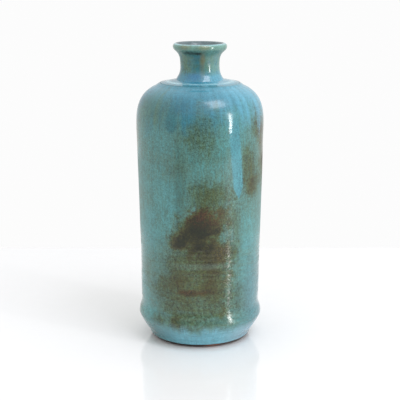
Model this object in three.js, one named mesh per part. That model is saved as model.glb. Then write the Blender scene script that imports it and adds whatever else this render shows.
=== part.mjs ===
// Ceramic bud vase, in millimetres, +Z up, with the origin at the centre of its foot.
// Three thrown clay sections are luted together with slip, then lined and coated with glaze.
// Every turned piece shares the rings of one outline, so that neighbours meet face to face.

import * as THREE from 'three';

// Driving dimensions
const HEIGHT = 240;
const FOOT_LINE_RADIUS = 40.35;
const RIDGE_RADIUS = 49.95;
const RIDGE_HEIGHT = 20.6;
const WAIST_RADIUS = 47.9;
const WAIST_HEIGHT = 34.7;
const BODY_RADIUS = 51.3;
const BODY_HEIGHT = 178;
const LEDGE_RADIUS = 32.6;
const LEDGE_HEIGHT = 208.5;
const NECK_ROOT_RADIUS = 19.4;
const NECK_ROOT_HEIGHT = 211.1;
const NECK_RADIUS = 15.5;
const NECK_HEIGHT = 223;
const LIP_RADIUS = 21.45;
const LIP_HEIGHT = 237.2;
const CREST_RADIUS = 19.1;
const BORE_RADIUS = 10.5;
const WALL = 5.7;
const FLOOR_HEIGHT = 9;
const GLAZE = 0.8;
const SEAM = 0.9;
const RADIAL_STEPS = 36;

// Foot: a flat ring that the vase stands on, and bare clay that rounds up from it to the foot line
const RING_RADIUS = 35.4;
const RING_WIDTH = 5;
const ROUNDING_RADIUS = 38.8;
const ROUNDING_HEIGHT = 1.5;
const FOOT_LINE_HEIGHT = 2.9;
const ROLL_TOP_RADIUS = 41.25;
const ROLL_TOP_HEIGHT = 5;
const ROLL_BULGE = 0.25;
const RECESS_HEIGHT = 2.2;
const RECESS_CROWN = 0.8;

// Blue run of glaze on the right of the front, with azimuths measured from the front (-Y) towards +X
const RUN_TOP_HEIGHT = 192;
const RUN_TIP_HEIGHT = 117;
const RUN_TOP_AZIMUTH = 30;
const RUN_TIP_AZIMUTH = 38.5;
const RUN_HALF_WIDTH = 4.9;
const RUN_RELIEF = 0.7;
const RUN_GAP = 0.3;
const RUN_BACK = 0.15;

const clay = { color: 0x8a4a34, roughness: 0.85, metalness: 0 };
const slip = { color: 0x9a5a40, roughness: 0.9, metalness: 0 };
const turquoise = { color: 0x6f9f9c, roughness: 0.22, metalness: 0 };
const greyGreen = { color: 0x6d8f80, roughness: 0.22, metalness: 0 };
const blue = { color: 0x6fb4cf, roughness: 0.18, metalness: 0 };
const liner = { color: 0x8a9f9f, roughness: 0.3, metalness: 0 };

// A station is a point of the outline. Its heading is 0 outward, 90 up, 180 inward and 270 down, and the curve
// reaches before and after it along that heading. A station with no reach on one side takes a straight line.
function station(r, z, heading, before, after) {
  const angle = THREE.MathUtils.degToRad(heading);
  return {
    at: new THREE.Vector2(r, z),
    way: new THREE.Vector2(Math.cos(angle), Math.sin(angle)),
    before,
    after,
  };
}

// The glazed surface, from the foot line up the outside, over the lip and down the inside to the floor
const outlineStations = {
  footLine: station(FOOT_LINE_RADIUS, FOOT_LINE_HEIGHT, 66, 0, 0),
  rollTop: station(ROLL_TOP_RADIUS, ROLL_TOP_HEIGHT, 70, 0, 1.5),
  ridge: station(RIDGE_RADIUS, RIDGE_HEIGHT, 92, 3.4, 0),
  aboveRidge: station(RIDGE_RADIUS - 0.03, RIDGE_HEIGHT + SEAM, 94, 0, 6.6),
  waist: station(WAIST_RADIUS, WAIST_HEIGHT, 89.2, 10.8, 46),
  shoulder: station(BODY_RADIUS, BODY_HEIGHT, 90, 13, 25),
  ledge: station(LEDGE_RADIUS, LEDGE_HEIGHT, 140, 6.2, 0),
  ledgeTop: station(LEDGE_RADIUS - SEAM, LEDGE_HEIGHT + 0.2, 169, 0, 0),
  neckRoot: station(NECK_ROOT_RADIUS, NECK_ROOT_HEIGHT, 122, 0, 3.9),
  neck: station(NECK_RADIUS, NECK_HEIGHT, 90, 6.5, 11.6),
  lip: station(LIP_RADIUS, LIP_HEIGHT, 90, 3.9, 1.7),
  crest: station(CREST_RADIUS, HEIGHT, 180, 1.3, 1.2),
  mouth: station(CREST_RADIUS - 2.3, HEIGHT - 1.6, 238, 1.1, 5),
  boreTop: station(BORE_RADIUS, NECK_HEIGHT + 2, 270, 5.5, 0),
  boreEnd: station(BORE_RADIUS, NECK_ROOT_HEIGHT + 3, 270, 0, 5),
  underLedge: station(NECK_ROOT_RADIUS + 1, NECK_ROOT_HEIGHT - WALL, 349, 4, 0),
  innerLedgeTop: station(LEDGE_RADIUS - 2.9, LEDGE_HEIGHT - 5.2, 345, 0, 0),
  innerLedge: station(LEDGE_RADIUS - 2.9 + SEAM, LEDGE_HEIGHT - 5.45, 335, 0, 7),
  innerShoulder: station(BODY_RADIUS - WALL, BODY_HEIGHT, 270, 14, 46),
  innerWaist: station(WAIST_RADIUS - WALL, WAIST_HEIGHT, 269, 13, 4),
  innerAboveRidge: station(WAIST_RADIUS - WALL - 0.1, RIDGE_HEIGHT + 1.6, 268, 4, 0),
  innerRidge: station(WAIST_RADIUS - WALL - 0.15, RIDGE_HEIGHT + 1.6 - SEAM, 266, 0, 9),
  floor: station(0, FLOOR_HEIGHT, 180, 26, 0),
};

// How many steps each stretch takes, by the station that it ends at
const stretchSteps = {
  rollTop: 1, ridge: 4, aboveRidge: 1, waist: 3, shoulder: 6, ledge: 8, ledgeTop: 1, neckRoot: 2,
  neck: 4, lip: 5, crest: 3, mouth: 2, boreTop: 4, boreEnd: 1, underLedge: 3, innerLedgeTop: 1,
  innerLedge: 1, innerShoulder: 6, innerWaist: 4, innerAboveRidge: 1, innerRidge: 1, floor: 6,
};

function stretch(from, to) {
  if (!from.after || !to.before) return new THREE.LineCurve(from.at, to.at);
  const leave = from.at.clone().addScaledVector(from.way, from.after);
  const arrive = to.at.clone().addScaledVector(to.way, -to.before);
  return new THREE.CubicBezierCurve(from.at, leave, arrive, to.at);
}

// Samples the outline and the clay under it, one glaze thickness to the left of the way that it runs
function sampleOutline() {
  const names = Object.keys(outlineStations);
  const index = { [names[0]]: 0 };
  const skin = [outlineStations[names[0]].at];
  const ways = [outlineStations[names[0]].way];
  for (let i = 1; i < names.length; i += 1) {
    const to = outlineStations[names[i]];
    const curve = stretch(outlineStations[names[i - 1]], to);
    const steps = stretchSteps[names[i]];
    for (let k = 1; k <= steps; k += 1) {
      skin.push(curve.getPoint(k / steps));
      ways.push(k < steps ? curve.getTangent(k / steps) : to.way);
    }
    index[names[i]] = skin.length - 1;
  }
  const body = skin.map((p, i) => new THREE.Vector2(p.x - ways[i].y * GLAZE, p.y + ways[i].x * GLAZE));
  body[body.length - 1].x = 0;
  return { index, skin, body };
}

const { index, skin, body } = sampleOutline();

// The stretch of the glazed surface, or of the clay surface, between two stations
function glazeRun(from, to) {
  return skin.slice(index[from], index[to] + 1);
}

function clayRun(from, to) {
  return body.slice(index[from], index[to] + 1);
}

function point(r, z) {
  return new THREE.Vector2(r, z);
}

// Turns a profile about the Z axis. The profile runs anticlockwise in radius and height.
function turned(profile) {
  const geometry = new THREE.LatheGeometry(profile, RADIAL_STEPS);
  geometry.rotateX(Math.PI / 2);
  return geometry;
}

function closed(profile) {
  return [...profile, profile[0]];
}

function baseBowl() {
  const ringInner = RING_RADIUS - RING_WIDTH;
  return turned([
    point(0, RECESS_HEIGHT + RECESS_CROWN),
    point(ringInner - RECESS_HEIGHT, RECESS_HEIGHT),
    point(ringInner, 0),
    point(RING_RADIUS, 0),
    point(ROUNDING_RADIUS, ROUNDING_HEIGHT),
    ...clayRun('footLine', 'ridge'),
    ...clayRun('innerRidge', 'floor'),
  ]);
}

function bodyWall() {
  return turned(closed([...clayRun('aboveRidge', 'ledge'), ...clayRun('innerLedge', 'innerAboveRidge')]));
}

function neckCollar() {
  return turned(closed(clayRun('ledgeTop', 'innerLedgeTop')));
}

function lowerSlipSeam() {
  return turned(closed([...clayRun('ridge', 'aboveRidge'), ...clayRun('innerAboveRidge', 'innerRidge')]));
}

function upperSlipSeam() {
  return turned(closed([...clayRun('ledge', 'ledgeTop'), ...clayRun('innerLedgeTop', 'innerLedge')]));
}

function glazeCoat(from, to) {
  return turned(closed([...glazeRun(from, to), ...clayRun(from, to).reverse()]));
}

function linerGlaze() {
  return turned([...clayRun('crest', 'floor').reverse(), ...glazeRun('crest', 'floor')]);
}

// The thick end of the coat, where glaze that ran down gathers above the bare foot
function footGlazeRoll() {
  const [low, high] = glazeRun('footLine', 'rollTop');
  const [clayLow, clayHigh] = clayRun('footLine', 'rollTop');
  const bulge = (share) => low.clone().lerp(high, share).add(point(ROLL_BULGE * Math.sin(Math.PI * share), 0));
  return turned(closed([low, bulge(0.25), bulge(0.5), bulge(0.75), high, clayHigh, clayLow]));
}

// Radius of the glazed outside at a height between the foot line and the ledge
function glazedRadius(height) {
  const outside = glazeRun('footLine', 'ledge');
  const i = outside.findIndex((p) => p.y >= height);
  const share = (height - outside[i - 1].y) / (outside[i].y - outside[i - 1].y);
  return THREE.MathUtils.lerp(outside[i - 1].x, outside[i].x, share);
}

// A drop of glaze laid on the coat: a unit sphere whose back is flattened onto the body, with its narrow tip down
function blueGlazeRun() {
  const geometry = new THREE.SphereGeometry(1, 16, 20);
  const place = geometry.getAttribute('position');
  const middle = (RUN_TOP_HEIGHT + RUN_TIP_HEIGHT) / 2;
  const halfLength = (RUN_TOP_HEIGHT - RUN_TIP_HEIGHT) / 2;
  for (let i = 0; i < place.count; i += 1) {
    const along = place.getY(i);
    const height = middle + along * halfLength;
    const azimuth = THREE.MathUtils.degToRad(
      THREE.MathUtils.lerp(RUN_TIP_AZIMUTH, RUN_TOP_AZIMUTH, (along + 1) / 2),
    );
    const lift = place.getZ(i) > 0 ? RUN_RELIEF * place.getZ(i) : RUN_BACK * place.getZ(i);
    const radius = glazedRadius(height) + RUN_GAP + RUN_BACK + lift;
    const turn = azimuth + (place.getX(i) * RUN_HALF_WIDTH) / radius;
    place.setXYZ(i, radius * Math.sin(turn), -radius * Math.cos(turn), height);
  }
  return geometry;
}

function piece(name, geometry, finish) {
  const mesh = new THREE.Mesh(geometry, new THREE.MeshStandardMaterial(finish));
  mesh.name = name;
  return mesh;
}

const vase = new THREE.Group();
vase.add(
  piece('base_bowl', baseBowl(), clay),
  piece('body_wall', bodyWall(), clay),
  piece('neck_collar', neckCollar(), clay),
  piece('lower_slip_seam', lowerSlipSeam(), slip),
  piece('upper_slip_seam', upperSlipSeam(), slip),
  piece('body_glaze_coat', glazeCoat('rollTop', 'ledgeTop'), turquoise),
  piece('neck_glaze_coat', glazeCoat('ledgeTop', 'crest'), greyGreen),
  piece('foot_glaze_roll', footGlazeRoll(), blue),
  piece('blue_glaze_run', blueGlazeRun(), blue),
  piece('liner_glaze', linerGlaze(), liner),
);

export default vase;
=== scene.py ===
"""The looks of a ceramic bud vase: each CAD node turned again with throwing rings, under a run glaze."""

import math

import bpy
import numpy as np
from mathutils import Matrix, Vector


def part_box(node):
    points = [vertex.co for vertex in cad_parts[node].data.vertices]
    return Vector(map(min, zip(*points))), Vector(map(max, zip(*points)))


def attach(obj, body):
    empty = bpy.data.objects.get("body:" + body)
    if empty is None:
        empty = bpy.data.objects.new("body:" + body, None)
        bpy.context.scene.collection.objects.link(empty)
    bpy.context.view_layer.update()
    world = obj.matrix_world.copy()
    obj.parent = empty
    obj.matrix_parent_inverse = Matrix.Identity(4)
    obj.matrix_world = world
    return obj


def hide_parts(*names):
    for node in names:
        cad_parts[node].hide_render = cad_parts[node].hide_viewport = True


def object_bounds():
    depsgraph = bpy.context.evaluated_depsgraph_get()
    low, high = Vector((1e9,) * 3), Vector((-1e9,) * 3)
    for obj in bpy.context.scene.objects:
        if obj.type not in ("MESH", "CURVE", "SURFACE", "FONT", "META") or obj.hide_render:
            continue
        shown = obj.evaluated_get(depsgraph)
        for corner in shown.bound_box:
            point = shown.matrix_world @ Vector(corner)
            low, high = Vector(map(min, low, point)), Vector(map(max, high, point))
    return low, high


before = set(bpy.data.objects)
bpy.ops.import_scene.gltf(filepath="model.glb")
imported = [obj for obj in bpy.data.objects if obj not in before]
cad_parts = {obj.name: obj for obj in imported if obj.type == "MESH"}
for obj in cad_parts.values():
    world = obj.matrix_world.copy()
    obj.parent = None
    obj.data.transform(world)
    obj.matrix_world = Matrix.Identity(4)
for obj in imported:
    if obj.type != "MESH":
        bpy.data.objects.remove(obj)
CAD_BOX = [list(corner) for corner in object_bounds()]

MM = 0.001
BODY = "root"

# Camera, stage and light, in metres, degrees and watts. Azimuths go from the front (-Y) towards +X.
CAMERA_PLACE = (0.0, -0.8828, 0.3095)
CAMERA_PITCH = 12.57
CAMERA_LENS = 100.0
FLOOR_BOX = (-0.75, -0.30, 0.75, 0.27)
FLOOR_IOR = 1.7
FLOOR_DARK = (0.82, 0.82, 0.82, 1)
FLOOR_LIGHT = (0.84, 0.84, 0.84, 1)
WINDOW_AZIMUTH = 56.0
WINDOW_DISTANCE = 1.2
WINDOW_SIZE = (0.09, 0.6)
WINDOW_POWER = 3.5
WINDOW_COLOUR = (1, 0.99, 0.97)
SKYLIGHT_AZIMUTH = 41.0
SKYLIGHT_ELEVATION = 53.0
SKYLIGHT_DISTANCE = 1.1
SKYLIGHT_TARGET_HEIGHT = 0.2
SKYLIGHT_SIZE = (0.5, 0.55)
SKYLIGHT_POWER = 4.2
SKYLIGHT_COLOUR = (0.9, 0.91, 1)
GLOW_SETBACK = 1.02
GLOW_SIZE = (1.0, 0.7)
GLOW_POWER = 1.2
GLOW_COLOUR = (0.86, 0.88, 1)
WALL_LIGHT = 0.85
CEILING_LIGHT = 1.14
CAMERA_SIDE_LIGHT = 0.36
BACKDROP = 0.975

# Hand-thrown shape, in millimetres and degrees
SHARP_TURN = 40.0
SOFT_TURN = 20.0
RING_PITCH = 4.1
RING_RELIEF = 0.05
DENT_RELIEF = 0.16
NECK_DENT_RELIEF = 0.09
GROOVE_PITCH = 7.5
GROOVE_RELIEF = 0.25
OUT_OF_ROUND = 0.22
RIM_WAVE = 0.4
RUN_WIDTH = 10.6
RUN_RELIEF = 0.75
RUN_SINK = 0.12
RUN_ROOT = 0.2
RUN_TIP_AZIMUTH = 38.0
RUN_TOP_AZIMUTH = 29.5
RUN_ROWS = 90
RUN_COLUMNS = 48
POLE_SHARE = 0.001
LEDGE_CREASE_HEIGHT = 208.7
LEDGE_CREASE_WIDTH = 0.45
LEDGE_CREASE_RELIEF = 0.12
LEDGE_BEAD_HEIGHT = 209.8
LEDGE_BEAD_WIDTH = 0.35
LEDGE_BEAD_RELIEF = 0.2
NECK_FOOT_HEIGHT = 212.0
LIP_FOOT_HEIGHT = 228.0
RIM_HEIGHT = CAD_BOX[1][2] / MM

# Heights in mm between which something comes in, or goes out where the first is the higher
OVAL_COMES = (0, 15)
SKIN_COMES = (3, 8)
SKIN_GOES = (238, 232)
RINGS_COME = (25, 34)
RINGS_GO = (105, 65)
DENTS_COME = (3, 20)
NECK_DENTS_COME = (209, 213)
NECK_DENTS_GO = (238, 234)
GROOVES_COME = (12, 25)
GROOVES_GO = (236, 200)

# Glaze, in millimetres and degrees. Streaks are laid out on a cylinder of AROUND_RADIUS, so that they run
# straight down. RUN_LEAN is in degrees of azimuth for each millimetre of height.
AROUND_RADIUS = 50
GLAZE_IOR = 1.58
DIMPLE_DEPTH = 0.018
RUN_TIP_HEIGHT = 117
RUN_HALF_ANGLE = 5.2
RUN_LEAN = 0.116


# ------------------------------------------------------------------------------------------------------
# Outlines, read from the CAD nodes


def half_section(name):
    """Where a turned CAD node crosses the half-plane y = 0, x >= 0: (radius, height) points in mm."""
    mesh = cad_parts[name].data
    place = np.array([v.co for v in mesh.vertices]) / MM
    inside = (abs(place[:, 1]) < 0.001) & (place[:, 0] > -0.001)
    key = [tuple(np.round(p[[0, 2]], 2)) for p in place]
    links = {}
    for edge in mesh.edges:
        a, b = edge.vertices
        if inside[a] and inside[b] and key[a] != key[b]:
            links.setdefault(key[a], set()).add(key[b])
            links.setdefault(key[b], set()).add(key[a])
    ends = [p for p in links if len(links[p]) == 1]
    start = min(ends, key=lambda p: p[1]) if ends else min(links, key=lambda p: (p[1], -p[0]))
    path = [start, max(links[start])]
    while True:
        ahead = [p for p in links[path[-1]] if p != path[-2]]
        if not ahead or ahead[0] == start:
            break
        path.append(ahead[0])
    closed = not ends
    path = np.array(path)
    if closed and signed_area(path) < 0:
        path = path[::-1]
    return path, closed


def signed_area(path):
    r, z = path.T
    return 0.5 * np.sum(r * np.roll(z, -1) - np.roll(r, -1) * z)


def spline(points, spacing):
    """The natural cubic curve through the points, sampled about every `spacing` mm."""
    step = np.hypot(*np.diff(points, axis=0).T)
    knots = np.concatenate([[0], np.cumsum(step)])
    slope = np.diff(points, axis=0) / step[:, None]
    n = len(points)
    system = np.eye(n)
    right = np.zeros((n, 2))
    for i in range(1, n - 1):
        system[i, i - 1:i + 2] = step[i - 1], 2 * (step[i - 1] + step[i]), step[i]
        right[i] = 6 * (slope[i] - slope[i - 1])
    bend = np.linalg.solve(system, right)
    at = np.linspace(0, knots[-1], max(2, round(knots[-1] / spacing) + 1))
    i = np.clip(np.searchsorted(knots, at, side="right") - 1, 0, n - 2)
    b = ((at - knots[i]) / step[i])[:, None]
    a = 1 - b
    h = (step[i] ** 2 / 6)[:, None]
    return a * points[i] + b * points[i + 1] + h * ((a ** 3 - a) * bend[i] + (b ** 3 - b) * bend[i + 1])


def outline(name, skin, fine, coarse, corner=SHARP_TURN):
    """A CAD node's half-section as smooth rows: points, normals, which are skin, which are corners.

    skin is +1 if the seen side runs up the outside, -1 if it runs down the inside, 0 if none is seen.
    """
    path, closed = half_section(name)
    ahead = np.roll(path, -1, axis=0) - path
    behind = path - np.roll(path, 1, axis=0)
    turn = np.degrees(np.arctan2(*(np.cross(behind, ahead), np.sum(behind * ahead, axis=1))))
    sharp = [i for i in range(len(path)) if abs(turn[i]) > corner]
    if closed:
        path = np.roll(path, -sharp[0], axis=0)
        cuts = [i - sharp[0] for i in sharp] + [len(path)]
        path = np.vstack([path, path[:1]])
    else:
        cuts = sorted({0, *sharp, len(path) - 1})
    points, normals, seen, corners = [], [], [], []
    for a, b in zip(cuts[:-1], cuts[1:]):
        run = path[a:b + 1]
        on_skin = skin * (run[-1, 1] - run[0, 1]) > 0 and b - a > 2
        rows = spline(run, fine if on_skin else coarse)
        way = np.gradient(rows, axis=0)
        way /= np.hypot(*way.T)[:, None]
        last = len(rows) if b == cuts[-1] and not closed else len(rows) - 1
        points.append(rows[:last])
        normals.append(np.column_stack([way[:, 1], -way[:, 0]])[:last])
        seen.append(np.full(last, float(on_skin)))
        corners.append(np.arange(last) == 0)
    if skin:
        seen = spread_to_ends(seen)
    return np.vstack(points), np.vstack(normals), np.concatenate(seen), np.concatenate(corners), closed


def spread_to_ends(seen):
    """Gives the first row after a seen run to that run too, because both sides share it."""
    for k in range(len(seen)):
        if seen[k - 1][0] and not seen[k][0]:
            seen[k][0] = 1.0
    return seen


# ------------------------------------------------------------------------------------------------------
# The thrown surface


def fade(value, low, high):
    """0 at low, 1 at high, and smooth between them."""
    t = np.clip((value - low) / (high - low), 0, 1)
    return t * t * (3 - 2 * t)


def wave_field(seed, turns, longest, count=16):
    """A smooth field over angle and height, about -1 to 1, made of waves that close round the vase."""
    random = np.random.default_rng(seed)
    m = random.integers(0, turns + 1, count)
    k = random.uniform(-1, 1, count) * 2 * np.pi / longest * 2
    phase = random.uniform(0, 2 * np.pi, count)
    size = 1 / (1 + 0.6 * m + abs(k) * longest / 6)
    size /= np.sqrt(np.sum(size ** 2) / 2) * 1.6

    def field(angle, height):
        return sum(s * np.cos(a * angle + b * height + p) for a, b, p, s in zip(m, k, phase, size))

    return field


dents = wave_field(seed=5, turns=5, longest=90.0)
hand_pressure = wave_field(seed=8, turns=3, longest=60.0)
neck_dents = wave_field(seed=21, turns=9, longest=18.0)
rim_waves = wave_field(seed=3, turns=3, longest=400.0)


def warp(points):
    """How the whole vase strays from a true turned form. Points are in mm."""
    x, y, z = points.T
    angle = np.arctan2(y, x)
    radius = np.hypot(x, y)
    oval = OUT_OF_ROUND * (np.cos(2 * angle + 0.6 + z / 70) + 0.5 * np.cos(3 * angle + 1.9 - z / 50))
    grown = radius + oval * np.clip(radius / 50, 0, 1) * fade(z, *OVAL_COMES)
    lip = fade(z, LIP_FOOT_HEIGHT, RIM_HEIGHT)
    lift = RIM_WAVE * rim_waves(angle, z * 0) * lip - RIM_WAVE * lip
    return np.column_stack([grown * np.cos(angle), grown * np.sin(angle), z + lift])


def throwing_rings(angle, height):
    """The spiral that the potter's fingers leave, from -1 to 1."""
    drift = 1.1 * np.sin(height / 15.0) + 0.6 * np.sin(height / 6.1 + 1.0)
    drift = drift + 0.5 * hand_pressure(angle, height)
    turn = 2 * np.pi * (height + drift) / RING_PITCH + angle
    return np.sin(turn) + 0.25 * np.sin(2 * turn + 0.7)


def outer_relief(angle, height):
    """How far the glazed outside stands proud of its outline, in mm, and how strong its rings are."""
    strength = 0.3 + 0.7 * fade(height, *RINGS_COME) * fade(height, *RINGS_GO)
    strength *= 0.6 + 0.6 * hand_pressure(angle, height)
    strength *= fade(height, *SKIN_COMES) * fade(height, *SKIN_GOES)
    rings = strength * throwing_rings(angle, height)
    bead = LEDGE_BEAD_RELIEF * np.exp(-((height - LEDGE_BEAD_HEIGHT) / LEDGE_BEAD_WIDTH) ** 2)
    crease = LEDGE_CREASE_RELIEF * np.exp(-((height - LEDGE_CREASE_HEIGHT) / LEDGE_CREASE_WIDTH) ** 2)
    pressed = DENT_RELIEF * dents(angle, height) * fade(height, *DENTS_COME)
    neck_pressed = NECK_DENT_RELIEF * neck_dents(angle, height)
    pressed += neck_pressed * fade(height, *NECK_DENTS_COME) * fade(height, *NECK_DENTS_GO)
    return RING_RELIEF * rings + pressed + bead - crease, rings


def inner_relief(angle, height):
    """Finger grooves down the inside, in mm, and how strong they are."""
    grooves = np.sin(2 * np.pi * height / GROOVE_PITCH + angle)
    return GROOVE_RELIEF * grooves * fade(height, *GROOVES_COME) * fade(height, *GROOVES_GO), grooves


def mesh_from_grid(name, grid, wrap, sharp_rows=(), values=None):
    """A closed mesh from rows of rings, in mm. Rows wrap round, or end in a single point each."""
    rows, columns = grid.shape[:2]
    here = np.arange(rows * columns).reshape(rows, columns)
    beside = np.roll(here, -1, axis=1)
    if wrap:
        quads = np.stack([here, beside, np.roll(beside, -1, axis=0), np.roll(here, -1, axis=0)], axis=-1)
        faces = quads.reshape(-1, 4).tolist()
        places = grid.reshape(-1, 3)
    else:
        quads = np.stack([here[:-1], beside[:-1], beside[1:], here[1:]], axis=-1)
        count = rows * columns
        faces = quads.reshape(-1, 4).tolist()
        faces += [[count, b, a] for a, b in zip(here[0], beside[0])]
        faces += [[count + 1, a, b] for a, b in zip(here[-1], beside[-1])]
        places = np.vstack([grid.reshape(-1, 3), grid[0].mean(axis=0), grid[-1].mean(axis=0)])
    mesh = bpy.data.meshes.new(name)
    mesh.from_pydata(places * MM, [], faces)
    mesh.shade_smooth()
    if len(sharp_rows):
        row_of = np.append(np.repeat(np.arange(rows), columns), [-1, -2])
        ends = np.zeros(len(mesh.edges) * 2, int)
        mesh.edges.foreach_get("vertices", ends)
        a, b = row_of[ends.reshape(-1, 2)].T
        mesh.edges.foreach_set("use_edge_sharp", (a == b) & np.isin(a, np.flatnonzero(sharp_rows)))
    if values is not None:
        flat = values.reshape(-1)
        attribute = mesh.attributes.new("ring_relief", "FLOAT", "POINT")
        attribute.data.foreach_set("value", np.append(flat, np.zeros(len(places) - len(flat))))
    mesh.validate()
    piece = bpy.data.objects.new(name, mesh)
    bpy.context.scene.collection.objects.link(piece)
    return piece


def add_piece(piece, material, slot, *nodes):
    piece.data.materials.append(material)
    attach(piece, BODY)
    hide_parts(*nodes)
    return piece


def turned_piece(name, node, material, slot,
                 skin=0, fine=3.0, coarse=4.0, columns=96, relief=None, corner=SHARP_TURN):
    """A CAD node turned again with many more rows, wobbled as a pot is, with relief on its seen side."""
    points, normals, seen, corners, closed = outline(node, skin, fine, coarse, corner)
    angle = np.linspace(0, 2 * np.pi, columns, endpoint=False)
    rows = points if closed else points[1:-1]
    cut = slice(None) if closed else slice(1, -1)
    normals, seen, corners = normals[cut], seen[cut], corners[cut]
    a, z = np.meshgrid(angle, rows[:, 1])
    height, rings = relief(a, z) if relief else (np.zeros_like(a), np.zeros_like(a))
    height = height * seen[:, None]
    r = rows[:, :1] + normals[:, :1] * height
    z = z + normals[:, 1:] * height
    grid = np.stack([r * np.cos(a), r * np.sin(a), z], axis=-1)
    if not closed:
        low, high = (np.broadcast_to([0, 0, points[i, 1]], (1, columns, 3)) for i in (0, -1))
        first = low * (1 - POLE_SHARE) + grid[:1] * POLE_SHARE
        last = high * (1 - POLE_SHARE) + grid[-1:] * POLE_SHARE
        grid = np.concatenate([first, grid, last])
        corners = np.concatenate([[False], corners, [False]])
        rings = np.concatenate([rings[:1], rings, rings[-1:]])
    grid = warp(grid.reshape(-1, 3)).reshape(grid.shape)
    piece = mesh_from_grid(name, grid, closed, corners, rings)
    return add_piece(piece, material, slot, node)


def blue_run(name, node, material, slot):
    """A thick run of glaze on the coat, which leaves the shoulder thin and ends in a round drop."""
    low, high = (corner[2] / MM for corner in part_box(node))
    points, _, seen, _, _ = outline("body_glaze_coat", 1, 0.8, 6.0)
    skin = points[seen > 0]
    share = 1 - np.cos(np.linspace(0, 0.5 * np.pi, RUN_ROWS))
    height = low + (high - low) * share
    drop = np.sqrt(1 - (1 - fade(height, low, low + 9)) ** 2) * np.clip((height - low) / 0.5, 0.04, 1)
    half_width = (RUN_WIDTH / 2) * drop * (1 - 0.22 * share) * (1 - 0.9 * fade(height, high - 14, high))
    thick = RUN_RELIEF * fade(height, low, low + 7) * (1 - 0.6 * fade(height, low + 12, low + 34))
    thick *= 1 - fade(height, high - 30, high)
    wander = 0.5 * np.sin(height / 9.0) + 0.35 * np.sin(height / 4.3 + 2)
    centre = np.radians(RUN_TIP_AZIMUTH + (RUN_TOP_AZIMUTH - RUN_TIP_AZIMUTH) * share ** 0.8 - 90)
    loop = np.linspace(0, 2 * np.pi, RUN_COLUMNS, endpoint=False)
    z = np.broadcast_to(height[:, None], (RUN_ROWS, RUN_COLUMNS))
    radius = np.interp(z, skin[:, 1], skin[:, 0])
    angle = centre[:, None] + (half_width[:, None] * np.cos(loop) + 0.4 * wander[:, None]) / radius
    bulge = np.clip(-np.sin(loop), 0, 1)[None, :] ** 0.8 * thick[:, None]
    bulge = bulge - RUN_SINK - np.clip(np.sin(loop), 0, 1) * RUN_ROOT
    radius = radius + outer_relief(angle, z)[0] + bulge
    grid = np.stack([radius * np.cos(angle), radius * np.sin(angle), z], axis=-1)
    grid = warp(grid.reshape(-1, 3)).reshape(grid.shape)
    return add_piece(mesh_from_grid(name, grid, wrap=False), material, slot, node)


# ------------------------------------------------------------------------------------------------------
# Material patterns as arithmetic on nodes


def srgb(red, green, blue):
    """A colour given as 0-255 sRGB, as the linear RGBA that shaders use."""
    shares = (red / 255, green / 255, blue / 255)
    linear = [c / 12.92 if c <= 0.04045 else ((c + 0.055) / 1.055) ** 2.4 for c in shares]
    return (*linear, 1.0)


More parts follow.
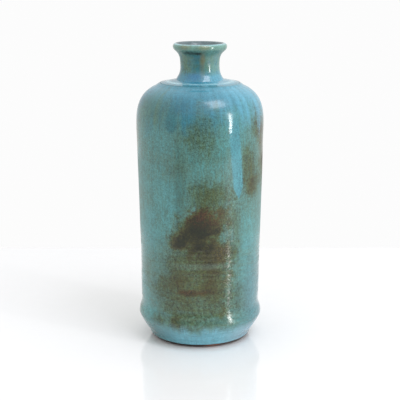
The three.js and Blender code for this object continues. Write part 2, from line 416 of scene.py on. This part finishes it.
class Pattern:
    """A value that varies over a surface. Arithmetic on it adds nodes to the material."""

    def __init__(self, tree, socket):
        self.tree = tree
        self.socket = socket

    def node(self, kind, **settings):
        made = self.tree.nodes.new(kind)
        for name, value in settings.items():
            setattr(made, name, value)
        return made

    def plug(self, value, socket):
        if isinstance(value, Pattern):
            self.tree.links.new(value.socket, socket)
        else:
            socket.default_value = value

    def math(self, operation, *values):
        made = self.node("ShaderNodeMath", operation=operation)
        for value, socket in zip(values, made.inputs):
            self.plug(value, socket)
        return Pattern(self.tree, made.outputs[0])

    def __add__(self, other):
        return self.math("ADD", self, other)

    def __sub__(self, other):
        return self.math("SUBTRACT", self, other)

    def __rsub__(self, other):
        return self.math("SUBTRACT", other, self)

    def __mul__(self, other):
        return self.math("MULTIPLY", self, other)

    __radd__ = __add__
    __rmul__ = __mul__

    def magnitude(self):
        return self.math("ABSOLUTE", self)

    def length_with(self, other):
        """The distance that this and the other value span at right angles."""
        return self.math("SQRT", self * self + other * other)

    def fade(self, low, high):
        """0 at low, 1 at high, and smooth between them. low may be the larger."""
        if low > high:
            return 1.0 - self.fade(high, low)
        made = self.node("ShaderNodeMapRange", interpolation_type="SMOOTHSTEP")
        self.plug(self, made.inputs["Value"])
        made.inputs["From Min"].default_value = low
        made.inputs["From Max"].default_value = high
        return Pattern(self.tree, made.outputs["Result"])

    def stretched(self, across, up):
        """Coordinates multiplied across (X and Y) and up (Z)."""
        made = self.node("ShaderNodeVectorMath", operation="MULTIPLY")
        self.plug(self, made.inputs[0])
        made.inputs[1].default_value = (across, across, up)
        return Pattern(self.tree, made.outputs[0])

    def noise(self, size, detail=3.0, roughness=0.55, seed=0.0):
        """Noise, about 0.2 to 0.8, over these coordinates, with grains about `size` mm across."""
        made = self.node("ShaderNodeTexNoise", noise_dimensions="4D")
        self.plug(self, made.inputs["Vector"])
        made.inputs["W"].default_value = seed
        made.inputs["Scale"].default_value = 1 / size
        made.inputs["Detail"].default_value = detail
        made.inputs["Roughness"].default_value = roughness
        return Pattern(self.tree, made.outputs[0])

    def ramp(self, stops):
        """A colour for each value, between (value, colour) stops."""
        made = self.node("ShaderNodeValToRGB")
        elements = made.color_ramp.elements
        elements[0].position = stops[0][0]
        elements[1].position = stops[-1][0]
        for at, _ in stops[1:-1]:
            elements.new(at)
        for element, (_, colour) in zip(elements, stops):
            element.color = colour
        self.plug(self, made.inputs[0])
        return Pattern(self.tree, made.outputs[0])

    def grey(self):
        """This value as a grey colour."""
        made = self.node("ShaderNodeCombineColor")
        for socket in made.inputs:
            self.plug(self, socket)
        return Pattern(self.tree, made.outputs[0])

    def blend(self, share, other, mode="MIX"):
        """This colour with the other laid over it where share is 1."""
        made = self.node("ShaderNodeMix", data_type="RGBA", blend_type=mode)
        self.plug(share, made.inputs[0])
        self.plug(self, made.inputs[6])
        self.plug(other, made.inputs[7])
        return Pattern(self.tree, made.outputs[2])


class Surface:
    """A material being made: its shader, its coordinates in mm, and its azimuth and height.

    The azimuth jumps from 180 to -180 degrees at the back, so a colour laid out by it has a seam there.
    """

    def __init__(self, name):
        self.material = bpy.data.materials.new(name)
        self.material.use_nodes = True
        self.tree = self.material.node_tree
        self.shader = self.tree.nodes["Principled BSDF"]
        self.shader.inputs["IOR"].default_value = GLAZE_IOR
        texture = self.tree.nodes.new("ShaderNodeTexCoord")
        place = Pattern(self.tree, texture.outputs["Object"])
        self.place = place.stretched(1 / MM, 1 / MM)
        parts = self.tree.nodes.new("ShaderNodeSeparateXYZ")
        self.tree.links.new(self.place.socket, parts.inputs[0])
        x, y, self.height = (Pattern(self.tree, socket) for socket in parts.outputs)
        self.azimuth = x.math("ARCTAN2", x, y * -1.0) * math.degrees(1)
        share = x.length_with(y) * (1 / AROUND_RADIUS)
        self.around = self.join(x.math("DIVIDE", x, share), y.math("DIVIDE", y, share), self.height)

    def join(self, *values):
        """Three values as coordinates."""
        made = self.tree.nodes.new("ShaderNodeCombineXYZ")
        for value, socket in zip(values, made.inputs):
            self.tree.links.new(value.socket, socket)
        return Pattern(self.tree, made.outputs[0])

    def colour(self, value):
        made = self.tree.nodes.new("ShaderNodeRGB")
        made.outputs[0].default_value = value
        return Pattern(self.tree, made.outputs[0])

    def attribute(self, name):
        made = self.tree.nodes.new("ShaderNodeAttribute")
        made.attribute_name = name
        return Pattern(self.tree, made.outputs["Fac"])

    def patch(self, at, half, ragged, soft=0.75):
        """A soft blot at (azimuth, height), reaching `half` each way, with its edge broken by noise."""
        across = (self.azimuth - at[0]) * (1 / half[0])
        up = (self.height - at[1]) * (1 / half[1])
        reach = across.length_with(up) + (ragged - 0.5) * 1.8
        return reach.fade(1 + soft, 1 - soft)

    def drip(self, end, half, top, ragged):
        """A run of glaze from the height `top` down to a rounded end at (azimuth, height)."""
        across = (self.azimuth - end[0]) * (1 / half[0])
        above_end = self.height - end[1]
        below = above_end.math("MINIMUM", above_end, 0.0) * (1 / half[1])
        reach = across.length_with(below) + (ragged - 0.5) * 0.9
        return reach.fade(1.4, 0.6) * self.height.fade(top + 8, top - 8)

    def finish(self, colour, roughness, relief=None, depth=0.0):
        self.tree.links.new(colour.socket, self.shader.inputs["Base Color"])
        colour.plug(roughness, self.shader.inputs["Roughness"])
        if relief is not None:
            bump = self.tree.nodes.new("ShaderNodeBump")
            bump.inputs["Distance"].default_value = depth * MM
            self.tree.links.new(relief.socket, bump.inputs["Height"])
            self.tree.links.new(bump.outputs[0], self.shader.inputs["Normal"])
        return self.material


# ------------------------------------------------------------------------------------------------------
# Glazes and clay

# From thick glaze, where it is turquoise, to bare iron, where it is nearly black: (share of iron, colour)
BREAKING = (
    (0.00, srgb(84, 146, 150)),
    (0.14, srgb(80, 136, 134)),
    (0.28, srgb(80, 119, 110)),
    (0.42, srgb(69, 95, 75)),
    (0.54, srgb(66, 79, 48)),
    (0.68, srgb(58, 58, 27)),
    (0.84, srgb(42, 42, 16)),
    (1.00, srgb(26, 32, 10)),
)

# Where iron comes through: (azimuth, height), (half width in degrees, half height in mm), how much
IRON_PATCHES = (
    ((-6, 52), (34, 34), 0.33),
    ((15, 62), (11, 24), 0.16),
    ((17, 86), (9, 12), 0.2),
    ((9, 77), (17, 9), 0.16),
    ((-30, 56), (12, 9), 0.12),
    ((-12, 48), (9, 2.2), 0.32),
    ((4, 49), (11, 2), 0.22),
    ((-5, 97), (16, 12), 0.6),
    ((-22, 90), (7, 6), 0.32),
    ((7, 107), (18, 8), 0.46),
    ((7, 124), (19, 11), 0.28),
    ((2, 172), (12, 15), 0.16),
    ((-18, 150), (9, 22), 0.08),
    ((50, 146), (10, 17), 0.3),
    ((58, 130), (10, 9), 0.2),
    ((32, 92), (9, 24), 0.2),
    ((-56, 92), (14, 22), -0.14),
    ((67, 180), (10, 14), 0.34),
    ((78, 152), (12, 24), 0.3),
    ((-43, 23), (7, 5), 0.18),
    ((-24, 21), (5, 6), 0.18),
    ((-58, 62), (10, 14), 0.12),
    ((42, 38), (14, 14), 0.12),
    ((-42, 222), (26, 6), 0.18),
)

SHADOW_TEAL = srgb(34, 104, 114)
SHOULDER_TEAL = srgb(32, 104, 124)
SHOULDER_BLUE = srgb(88, 154, 176)
SKY_BLUE = srgb(74, 142, 154)
SIDE_BLUE = srgb(80, 132, 152)
STREAK_GREEN = srgb(48, 86, 78)
NECK_BLUE = srgb(44, 112, 150)
RUST = srgb(96, 56, 32)
PAINTED_HIGHLIGHT_PALE = srgb(150, 196, 206)
OCHRE = srgb(120, 104, 48)
FOOT_TEAL = srgb(60, 116, 120)
FOOT_BLUE = srgb(110, 174, 190)
FOOT_PALE = srgb(150, 184, 196)
NECK_GREEN = srgb(92, 138, 120)
NECK_PALE = srgb(122, 158, 150)
LIP_GREEN = srgb(108, 146, 128)
OLIVE = srgb(90, 120, 86)
MARK_BROWN = srgb(44, 48, 40)
SCORCH_AND_SHADE = srgb(36, 30, 26)


class RunGlaze(Surface):
    """The outside: turquoise over iron, bluer where it is thick and brown where it is thin."""

    def __init__(self):
        super().__init__("run_glaze")
        self.cloud = self.place.noise(36, detail=2)
        self.blotch = self.place.noise(9, detail=5, roughness=0.65, seed=2)
        self.neck_mottle = self.place.noise(3.6, detail=4, roughness=0.65, seed=15)
        self.mottle = self.place.noise(1.7, detail=5, roughness=0.7, seed=4)
        self.grain = self.place.noise(0.75, detail=2, roughness=0.6, seed=5)
        self.streak = self.around.stretched(1, 0.08).noise(5.5, detail=4, roughness=0.6, seed=6)
        self.feather = self.around.stretched(1, 0.22).noise(1.5, detail=2, seed=7)
        self.band = self.around.stretched(0.2, 1).noise(4.6, detail=4, roughness=0.65, seed=9)
        self.rings = self.attribute("ring_relief")
        self.off_front = self.azimuth.magnitude()
        self.low_down = self.height.fade(100, 70)
        self.shoulder = self.ragged_height((self.streak, 55), (self.blotch, 35)).fade(170, 202)
        foot_edge = self.ragged_height((self.blotch, 11), (self.streak, 14), (self.cloud, 12))
        self.foot = foot_edge.fade(22, 11)
        self.iron = self.iron_share()

    def ragged_height(self, *noises):
        """The height with each (noise, mm) added, so that an edge drawn by it is ragged."""
        height = self.height
        for noise, amount in noises:
            height = height + (noise - 0.5) * amount
        return height

    def iron_share(self):
        """How much iron shows: in patches, behind, in bands low down, and as flecks everywhere."""
        iron = (self.cloud - 0.5) * 0.5 + 0.2
        for at, half, amount in IRON_PATCHES:
            iron = iron + self.patch(at, half, self.blotch) * amount
        behind = (self.place.noise(24, detail=3, seed=12) - 0.55).fade(-0.08, 0.26)
        iron = iron + (1.0 - self.off_front.fade(85, 65)) * behind * 0.4
        iron = iron + (self.band - 0.5) * 0.4 * self.low_down + self.rings * 0.03
        iron = iron + (self.mottle - 0.5) * 0.3 + (self.feather - 0.5) * (0.42 - self.low_down * 0.34)
        return iron + (self.grain - 0.5) * 0.08

    def with_rust(self, colour):
        """Redder iron at its upper edges, ochre in the thin glaze beside it, and one pale band."""
        rust = self.patch((6, 110), (17, 7), self.feather)
        rust = rust + self.patch((-8, 48.3), (13, 1.8), self.blotch)
        colour = colour.blend(rust * self.mottle.fade(0.4, 0.6) * 0.5, RUST)
        ochre = self.patch((18, 80), (6, 9), self.blotch)
        ochre = ochre + self.patch((-2, 56), (24, 14), self.blotch) * 0.4
        colour = colour.blend(ochre * self.mottle.fade(0.42, 0.62) * 0.4, OCHRE)
        return colour.blend(self.patch((4, 70), (26, 2), self.streak) * 0.16, NECK_PALE)

    def with_shoulder(self, colour):
        """The shoulder, where the glaze pooled and ran."""
        right = (self.azimuth + (self.streak - 0.5) * 100).fade(-18, 62)
        pooled = self.colour(SHOULDER_TEAL).blend(right, SHOULDER_BLUE)
        pooled = pooled.blend(self.height.fade(195, 207) * 0.45, SHOULDER_BLUE)
        colour = colour.blend(self.shoulder * 0.94, pooled)
        colour = colour.blend(self.patch((-50, 193), (18, 12), self.streak) * 0.4, OLIVE)
        colour = colour.blend(self.drip((-26, 180), (5, 5), 194, self.cloud) * 0.7, SHADOW_TEAL)
        trail = self.patch((-19, 132), (6, 32), self.streak) * (1.0 - self.iron.fade(0.35, 0.6))
        return colour.blend(trail * 0.42, STREAK_GREEN)

    def with_run(self, colour):
        """The colour round the raised run, down to just below its tip."""
        off_centre = self.azimuth + (self.height - RUN_TIP_HEIGHT) * RUN_LEAN - RUN_TIP_AZIMUTH
        run = (off_centre * (1 / RUN_HALF_ANGLE)).magnitude() + self.height.fade(134, 112) * 2
        run = (run + (self.blotch - 0.5) * 0.5).fade(1.25, 0.8) * self.height.fade(200, 176)
        return colour.blend(run * 0.85, SKY_BLUE)

    def with_foot(self, colour):
        """Thick blue glaze round the foot, duller at the sides, and a bluer right side above it."""
        foot = self.colour(FOOT_TEAL).blend(self.azimuth.fade(-62, -10), FOOT_BLUE)
        foot = foot.blend(self.azimuth.fade(15, 60), FOOT_PALE)
        foot = foot.blend(self.cloud.fade(0.55, 0.35) * self.off_front.fade(60, 110), FOOT_TEAL)
        colour = colour.blend(self.foot * 0.92, foot)
        return colour.blend(self.azimuth.fade(30, 62) * self.height.fade(95, 40) * 0.45, SIDE_BLUE)

    def with_neck(self, colour):
        """Greyer glaze over the neck and lip, mottled with olive and teal."""
        neck = self.colour(NECK_GREEN).blend(self.streak.fade(0.46, 0.58) * 0.6, SHOULDER_TEAL)
        neck = neck.blend(self.patch((-8, 224), (18, 10), self.blotch) * 0.8, SHADOW_TEAL)
        neck = neck.blend(self.azimuth.fade(8, 45) * 0.5, NECK_PALE)
        olive = self.patch((-44, 223), (20, 8), self.blotch) * 0.75
        olive = olive + self.patch((32, 228), (13, 7), self.blotch) * 0.45
        neck = neck.blend(olive, OLIVE)
        neck = neck.blend(self.neck_mottle.fade(0.5, 0.62) * 0.4, OLIVE)
        neck = neck.blend(self.neck_mottle.fade(0.48, 0.38) * 0.4, SHOULDER_TEAL)
        neck = neck.blend(self.height.fade(230, 237), LIP_GREEN)
        edge = self.ragged_height((self.streak, 14))
        return colour.blend(edge.fade(NECK_FOOT_HEIGHT + 1, NECK_FOOT_HEIGHT + 8) * 0.85, neck)

    def with_neck_marks(self, colour):
        """Blue at the neck's foot, ochre flecks, brown marks under the lip, and a pale painted highlight
        along the lip's crest.
        """
        neck_foot = self.patch((-14, 214.5), (23, 2.8), self.neck_mottle, soft=0.9)
        colour = colour.blend(neck_foot * 0.7, NECK_BLUE)
        colour = colour.blend(self.patch((6, 224), (7, 9), self.mottle) * 0.35, OCHRE)
        under_lip = self.patch((-24, 233), (18, 1.3), self.feather)
        under_lip = under_lip + self.patch((-3, 232.5), (8, 1), self.feather)
        colour = colour.blend(under_lip * 0.8, MARK_BROWN)
        flecks = self.patch((8, 229), (6, 5), self.feather) + self.patch((8, 238), (12, 2), self.mottle)
        flecks = flecks + self.patch((-35, 238), (12, 2), self.mottle)
        colour = colour.blend(flecks * 0.45, OCHRE)
        # Painted highlight: a pale line along the lip's crest.
        lip_highlight = self.height.fade(238.5, 239.3) * self.mottle.fade(0.3, 0.55)
        return colour.blend(lip_highlight * 0.75, PAINTED_HIGHLIGHT_PALE)

    def with_ledge_shade_and_highlight(self, colour):
        """Darker teal as painted shade along the ledge's crease, and pale as a painted highlight along
        the bead.
        """
        above_crease = self.height - LEDGE_CREASE_HEIGHT
        # Painted shade: darker teal along the ledge's crease.
        crease = above_crease.fade(-1.3, -0.2) * above_crease.fade(0.7, 0.2)
        colour = colour.blend(crease * 0.4, SHADOW_TEAL)
        # Painted highlight: a pale line along the bead.
        bead = (self.height - LEDGE_BEAD_HEIGHT).magnitude().fade(0.5, 0.15)
        return colour.blend(bead * self.blotch.fade(0.3, 0.55) * 0.75, PAINTED_HIGHLIGHT_PALE)

    def tone(self):
        """Light and dark specks, streaks, bands and rings, about 1, to multiply the colour by."""
        speck = (self.mottle * 0.4 + self.grain * 0.6).fade(0.64, 0.36) - 0.5
        speck = speck * (self.iron.fade(0.2, 0.5) * 0.6 + 0.52)
        speck = speck * (1.0 - self.foot * 0.6) * (1.0 - self.shoulder * 0.35)
        tone = speck + self.streak.fade(0.35, 0.65) * 0.12 + 0.94
        tone = tone + (self.band.fade(0.35, 0.65) - 0.5) * (self.low_down * 0.12 + 0.07)
        tone = tone + self.rings * 0.04
        return tone + (self.feather.fade(0.35, 0.65) - 0.5) * self.iron.fade(0.15, 0.45) * 0.34

    def roughness(self):
        """Least on plain glaze, and more over iron, low bands, the middle, the shoulder and the neck."""
        height = self.height
        rough = self.mottle * 0.1 + 0.06 + self.iron.fade(0.5, 0.95) * 0.16
        rough = rough + self.band.fade(0.42, 0.62) * self.low_down * 0.22
        rough = rough + height.fade(78, 100) * height.fade(162, 145) * 0.26
        rough = rough + height.fade(183, 191) * height.fade(208, 204) * 0.09
        return rough + height.fade(220, 226) * height.fade(237, 234) * 0.22

    def build(self):
        """The whole material, laid on layer by layer in this order."""
        colour = self.with_rust(self.iron.ramp(BREAKING))
        colour = self.with_shoulder(colour)
        colour = self.with_run(colour)
        colour = self.with_foot(colour)
        colour = self.with_neck(colour)
        colour = self.with_neck_marks(colour)
        colour = self.with_ledge_shade_and_highlight(colour)
        colour = colour.blend(1.0, self.tone().grey(), mode="MULTIPLY")
        dimples = self.mottle + self.feather * 0.5 + self.blotch * self.height.fade(209, 216) * 7
        return self.finish(colour, self.roughness(), dimples, DIMPLE_DEPTH)


def liner_material():
    s = Surface("liner_glaze")
    mottle = s.place.noise(3, detail=4)
    colour = s.colour(srgb(98, 114, 118)).blend(mottle.fade(0.3, 0.7), srgb(76, 96, 98))
    return s.finish(colour, mottle * 0.2 + 0.2, mottle, 0.05)


def clay_material(name, light, dark):
    """Unglazed clay, dark where it rounds up to the glaze, partly as scorched clay and partly as painted
    shade under the undercut foot, but for one bright spot in front.
    """
    s = Surface(name)
    grit = s.place.noise(0.8, detail=4, roughness=0.7)
    turning = s.place.stretched(0.05, 0.05).noise(0.9, seed=3)
    colour = s.colour(light).blend((grit * 0.6 + turning * 0.4).fade(0.3, 0.7), dark)
    bright_spot = s.patch((15, 2), (7, 4), grit)
    # Dark above the very bottom: partly scorched clay and partly painted shade under the undercut foot.
    scorch_and_shade = s.height.fade(0.05, 0.4) * (1.0 - bright_spot) * (turning * 0.4 + 0.8)
    colour = colour.blend(scorch_and_shade * 0.9, SCORCH_AND_SHADE)
    return s.finish(colour, grit * 0.2 + 0.7, grit, 0.15)


# ------------------------------------------------------------------------------------------------------
# Pieces


def make_pieces():
    glaze = RunGlaze().build()
    clay = clay_material("red_stoneware", srgb(150, 84, 60), srgb(112, 58, 42))
    slip = clay_material("joining_slip", srgb(160, 98, 74), srgb(124, 70, 52))
    # The foot ring turns gently at its edges, and a curve drawn through them would dip below the floor.
    turned_piece("thrown_base", "base_bowl", clay, "red_stoneware",
                 coarse=1.0, columns=192, corner=SOFT_TURN)
    turned_piece("thrown_wall", "body_wall", clay, "red_stoneware")
    turned_piece("thrown_neck", "neck_collar", clay, "red_stoneware", coarse=1.5)
    turned_piece("slip_at_ridge", "lower_slip_seam", slip, "joining_slip", coarse=1.0)
    turned_piece("slip_at_ledge", "upper_slip_seam", slip, "joining_slip", coarse=1.0)
    turned_piece("body_glaze", "body_glaze_coat", glaze, "turquoise_glaze",
                 skin=1, fine=0.8, coarse=6.0, columns=256, relief=outer_relief)
    turned_piece("neck_glaze", "neck_glaze_coat", glaze, "grey_green_glaze",
                 skin=1, fine=0.35, coarse=1.5, columns=224, relief=outer_relief)
    turned_piece("foot_glaze", "foot_glaze_roll", glaze, "blue_glaze", coarse=0.3, columns=256)
    blue_run("run_of_blue_glaze", "blue_glaze_run", glaze, "blue_glaze")
    turned_piece("inside_glaze", "liner_glaze", liner_material(), "liner_glaze",
                 skin=-1, fine=1.0, coarse=5.0, columns=160, relief=inner_relief)


# ------------------------------------------------------------------------------------------------------
# Camera, floor and light


def direction(azimuth, elevation):
    """From the vase towards an azimuth and elevation in degrees."""
    a, e = math.radians(azimuth), math.radians(elevation)
    return np.array([math.sin(a) * math.cos(e), -math.cos(a) * math.cos(e), math.sin(e)])


def add_camera():
    lens = bpy.data.cameras.new("camera")
    lens.lens = CAMERA_LENS
    camera = bpy.data.objects.new("camera", lens)
    camera.location = CAMERA_PLACE
    camera.rotation_euler = (math.radians(90 - CAMERA_PITCH), 0, 0)
    bpy.context.scene.collection.objects.link(camera)
    bpy.context.scene.camera = camera


def add_light(name, place, target, size, power, colour):
    lamp = bpy.data.lights.new(name, "AREA")
    lamp.shape = "RECTANGLE"
    lamp.size, lamp.size_y = size
    lamp.energy = power
    lamp.color = colour
    light = bpy.data.objects.new(name, lamp)
    light.location = place
    way = np.array(target) - np.array(place)
    light.rotation_mode = "QUATERNION"
    light.rotation_quaternion = Vector(way).to_track_quat("-Z", "Y")
    bpy.context.scene.collection.objects.link(light)


def add_lights():
    window = direction(WINDOW_AZIMUTH, 0) * WINDOW_DISTANCE
    half_height = WINDOW_SIZE[1] / 2
    target = np.array([0, 0, half_height])
    add_light("window", window + target, target, WINDOW_SIZE, WINDOW_POWER, WINDOW_COLOUR)
    middle = np.array([0, 0, SKYLIGHT_TARGET_HEIGHT])
    above = middle + direction(SKYLIGHT_AZIMUTH, SKYLIGHT_ELEVATION) * SKYLIGHT_DISTANCE
    add_light("skylight", above, middle, SKYLIGHT_SIZE, SKYLIGHT_POWER, SKYLIGHT_COLOUR)
    add_light("sky_glow", above * GLOW_SETBACK, middle, GLOW_SIZE, GLOW_POWER, GLOW_COLOUR)


def add_floor():
    x0, y0, x1, y1 = FLOOR_BOX
    mesh = bpy.data.meshes.new("floor")
    mesh.from_pydata([(x0, y0, 0), (x1, y0, 0), (x1, y1, 0), (x0, y1, 0)], [], [(0, 1, 2, 3)])
    floor = bpy.data.objects.new("floor", mesh)
    bpy.context.scene.collection.objects.link(floor)
    s = Surface("pale_floor")
    grain = s.place.noise(12)
    colour = s.colour(FLOOR_DARK).blend(grain, FLOOR_LIGHT)
    s.shader.inputs["IOR"].default_value = FLOOR_IOR
    mesh.materials.append(s.finish(colour, grain * 0.04 + 0.08))


def add_surroundings():
    """White all round but dimmer where the camera stands, and an even white behind all that it sees."""
    world = bpy.data.worlds.new("surroundings")
    world.use_nodes = True
    bpy.context.scene.world = world
    tree = world.node_tree
    texture = tree.nodes.new("ShaderNodeTexCoord")
    parts = tree.nodes.new("ShaderNodeSeparateXYZ")
    tree.links.new(texture.outputs["Generated"], parts.inputs[0])
    y, z = (Pattern(tree, socket) for socket in parts.outputs[1:])
    seen = Pattern(tree, tree.nodes.new("ShaderNodeLightPath").outputs["Is Camera Ray"])
    behind_camera = y.fade(-0.45, -0.95) * z.fade(0.45, 0.15)
    light = z.fade(0.15, 0.8) * (CEILING_LIGHT - WALL_LIGHT) + WALL_LIGHT
    light = light * (1.0 - behind_camera) + behind_camera * CAMERA_SIDE_LIGHT
    strength = light * (1.0 - seen) + seen * BACKDROP
    tree.links.new(strength.socket, tree.nodes["Background"].inputs["Strength"])
    tree.nodes["Background"].inputs["Color"].default_value = (1, 1, 1, 1)


bpy.context.scene.view_settings.view_transform = "Standard"
add_camera()
add_floor()
add_lights()
add_surroundings()
make_pieces()
